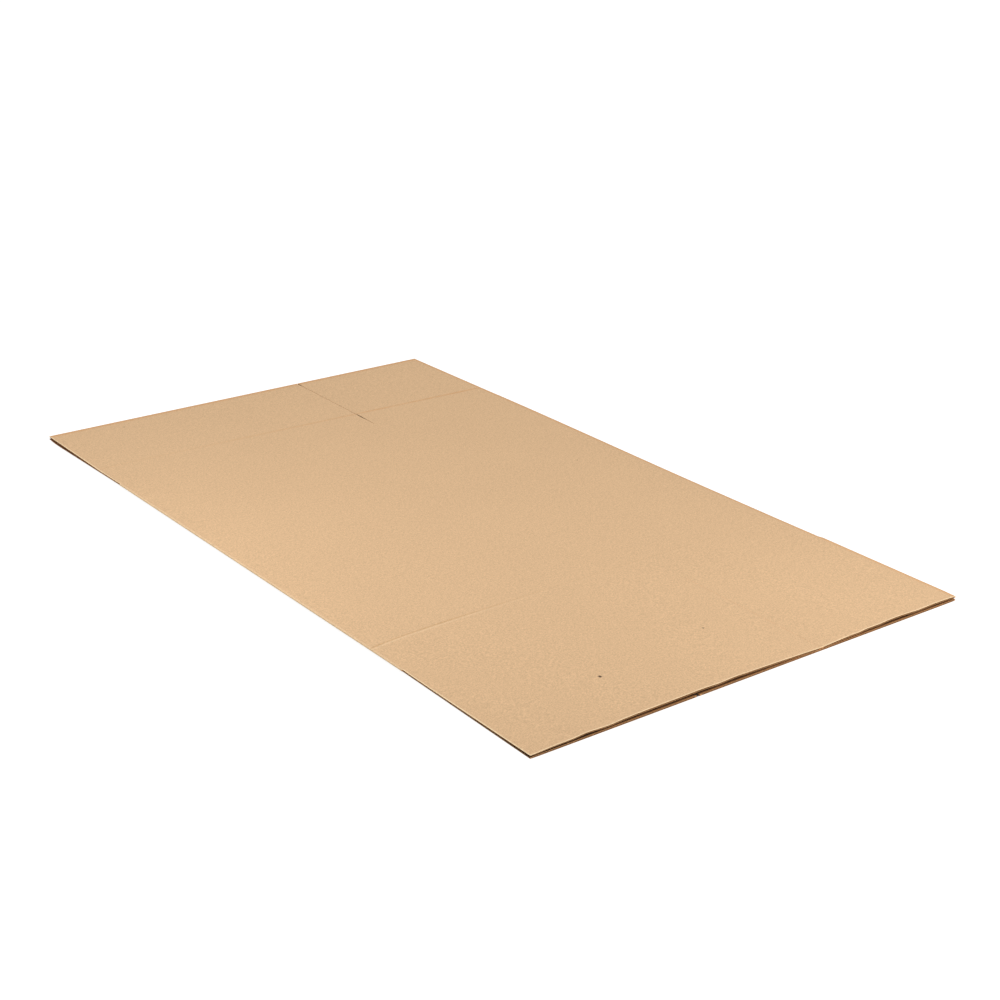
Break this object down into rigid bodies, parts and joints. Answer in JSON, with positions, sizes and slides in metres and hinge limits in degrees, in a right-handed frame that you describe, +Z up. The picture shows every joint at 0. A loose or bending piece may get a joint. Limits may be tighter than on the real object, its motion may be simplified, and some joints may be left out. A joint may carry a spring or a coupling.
{
  "type": "flattened cardboard box",
  "caption": "Tall slotted carton of single-wall corrugated board, folded flat in two layers, with full-width flaps parted by slots, flap scores, cross creases and a glued side joint.",
  "frame": {"origin": "middle of the underside, on the surface that the carton lies on", "axes": "+X across the flutes, towards the folded edge beside the narrow upper panel; +Y along the flutes and the carton's height, towards the far flaps; +Z up"},
  "size_m": [1, 1.77, 0.0123],
  "materials": {
    "kraft_board": "matt brown kraft liner"
  },
  "bodies": {
    "root": {"carton": "kraft_board"}
  },
  "joints": []
}
